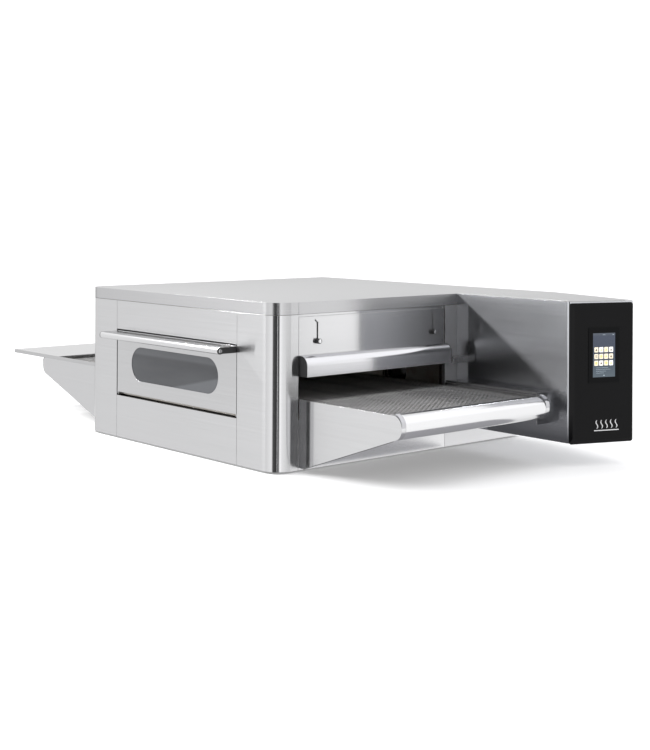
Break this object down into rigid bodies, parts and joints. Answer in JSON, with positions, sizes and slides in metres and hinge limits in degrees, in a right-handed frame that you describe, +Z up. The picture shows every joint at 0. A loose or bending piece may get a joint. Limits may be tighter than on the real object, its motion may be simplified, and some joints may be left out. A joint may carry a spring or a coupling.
{
  "type": "conveyor pizza oven",
  "caption": "Countertop steel oven whose wire belt carries food through a heated tunnel, with a windowed drop-down door, sliding end shutters, a side control box and a landing tray.",
  "frame": {"origin": "centre of the overall box, on the plane its feet stand on", "axes": "+X along the conveyor towards the control box end, +Y from the door to the back, +Z up"},
  "size_m": [2.2892, 1.1614, 0.506],
  "materials": {
    "brushed_steel": "satin brushed",
    "polished_steel": "polished",
    "chamber_steel": "heat dulled",
    "belt_wire": "heat dulled wire",
    "machined_steel": "machined",
    "knob_metal": "turned",
    "black_gloss": "gloss",
    "display_glass": "gloss",
    "door_glass": "tinted",
    "black_plastic": "matt",
    "seal_rubber": "matt",
    "mineral_wool": "fibrous",
    "heater_sheath": "oxidised",
    "motor_paint": "painted",
    "electrical_plastic": "matt"
  },
  "bodies": {
    "oven": {"air_ducts": "chamber_steel", "base_pan": "brushed_steel", "belt_supports": "machined_steel", "cable_gland": "black_plastic", "chamber_front": "chamber_steel", "chamber_liner": "chamber_steel", "control_box_lid": "brushed_steel", "control_box_shell": "brushed_steel", "control_fascia": "black_gloss", "conveyor_belt": "belt_wire", "conveyor_rails": "machined_steel", "conveyor_sides": "brushed_steel", "crumb_pans": "brushed_steel", "display_bezel": "black_gloss", "display_glass": "display_glass", "door_frame": "brushed_steel", "drive_chain": "machined_steel", "drive_cover": "brushed_steel", "electrical_parts": "electrical_plastic", "end_frames": "brushed_steel", "fan_motors": "motor_paint", "feet": "black_plastic", "fixed_pins": "machined_steel", "front_columns": "brushed_steel", "front_panels": "brushed_steel", "gearmotor": "motor_paint", "heating_elements": "heater_sheath", "insulation": "mineral_wool", "landing_tray": "brushed_steel", "nose_covers": "polished_steel", "plenum_walls": "chamber_steel", "rear_end_panels": "brushed_steel", "rear_panel": "brushed_steel", "shaft_bearings": "black_plastic", "top_lid": "brushed_steel"},
    "door": {"door_outer_skin": "brushed_steel", "door_inner_skin": "brushed_steel", "door_glass": "door_glass", "door_wool": "mineral_wool", "door_gasket": "seal_rubber", "door_handle": "polished_steel", "handle_end_plates": "black_plastic", "handle_web": "polished_steel"},
    "shutter_right": {"shutter_plate_right": "brushed_steel", "shutter_bar_right": "polished_steel", "shutter_bar_caps_right": "black_plastic"},
    "shutter_left": {"shutter_plate_left": "brushed_steel", "shutter_bar_left": "polished_steel", "shutter_bar_caps_left": "black_plastic"},
    "knob_right_front": {"knob_right_front": "knob_metal"},
    "knob_right_rear": {"knob_right_rear": "knob_metal"},
    "knob_left_front": {"knob_left_front": "knob_metal"},
    "knob_left_rear": {"knob_left_rear": "knob_metal"},
    "belt_drive": {"drive_shaft": "machined_steel", "drive_sprockets": "machined_steel"},
    "right_roller": {"tail_roller_right": "machined_steel"},
    "left_roller": {"tail_roller_left": "machined_steel"},
    "motor_output": {"motor_sprocket": "machined_steel"},
    "fan_left": {"fan_impeller_left": "machined_steel"},
    "fan_right": {"fan_impeller_right": "machined_steel"}
  },
  "joints": [
    {"name": "door_hinge", "type": "hinge", "parent": "oven", "child": "door", "pos_m": [0.07361, -0.50325, 0.155], "axis": [1, 0, 0], "range_deg": [0, 90]},
    {"name": "shutter_right_slide", "type": "slide", "parent": "oven", "child": "shutter_right", "axis": [0, 0, 1], "range_m": [-0.055, 0]},
    {"name": "shutter_left_slide", "type": "slide", "parent": "oven", "child": "shutter_left", "axis": [0, 0, 1], "range_m": [-0.055, 0]},
    {"name": "knob_right_front_turn", "type": "hinge", "parent": "oven", "child": "knob_right_front", "pos_m": [0.59236, -0.34425, 0.386], "axis": [1, 0, 0], "continuous": true},
    {"name": "knob_right_rear_turn", "type": "hinge", "parent": "oven", "child": "knob_right_rear", "pos_m": [0.59236, 0.15175, 0.386], "axis": [1, 0, 0], "continuous": true},
    {"name": "knob_left_front_turn", "type": "hinge", "parent": "oven", "child": "knob_left_front", "pos_m": [-0.44764, -0.34425, 0.386], "axis": [1, 0, 0], "continuous": true},
    {"name": "knob_left_rear_turn", "type": "hinge", "parent": "oven", "child": "knob_left_rear", "pos_m": [-0.44764, 0.15175, 0.386], "axis": [1, 0, 0], "continuous": true},
    {"name": "belt_drive_turn", "type": "hinge", "parent": "oven", "child": "belt_drive", "pos_m": [0.93736, -0.1055, 0.189], "axis": [0, 1, 0], "continuous": true},
    {"name": "right_roller_turn", "type": "hinge", "parent": "oven", "child": "right_roller", "pos_m": [0.99736, -0.1055, 0.189], "axis": [0, 1, 0], "continuous": true},
    {"name": "left_roller_turn", "type": "hinge", "parent": "oven", "child": "left_roller", "pos_m": [-0.89464, -0.1055, 0.189], "axis": [0, 1, 0], "continuous": true},
    {"name": "motor_output_turn", "type": "hinge", "parent": "oven", "child": "motor_output", "pos_m": [0.81736, 0.28075, 0.189], "axis": [0, 1, 0], "continuous": true},
    {"name": "fan_left_turn", "type": "hinge", "parent": "oven", "child": "fan_left", "pos_m": [-0.18764, 0.27675, 0.231], "axis": [0, 1, 0], "continuous": true},
    {"name": "fan_right_turn", "type": "hinge", "parent": "oven", "child": "fan_right", "pos_m": [0.33236, 0.27675, 0.231], "axis": [0, 1, 0], "continuous": true}
  ],
  "couplings": [
    {"joint": "right_roller_turn", "follows": "belt_drive_turn", "ratio": 1},
    {"joint": "left_roller_turn", "follows": "belt_drive_turn", "ratio": 1},
    {"joint": "motor_output_turn", "follows": "belt_drive_turn", "ratio": 1}
  ]
}
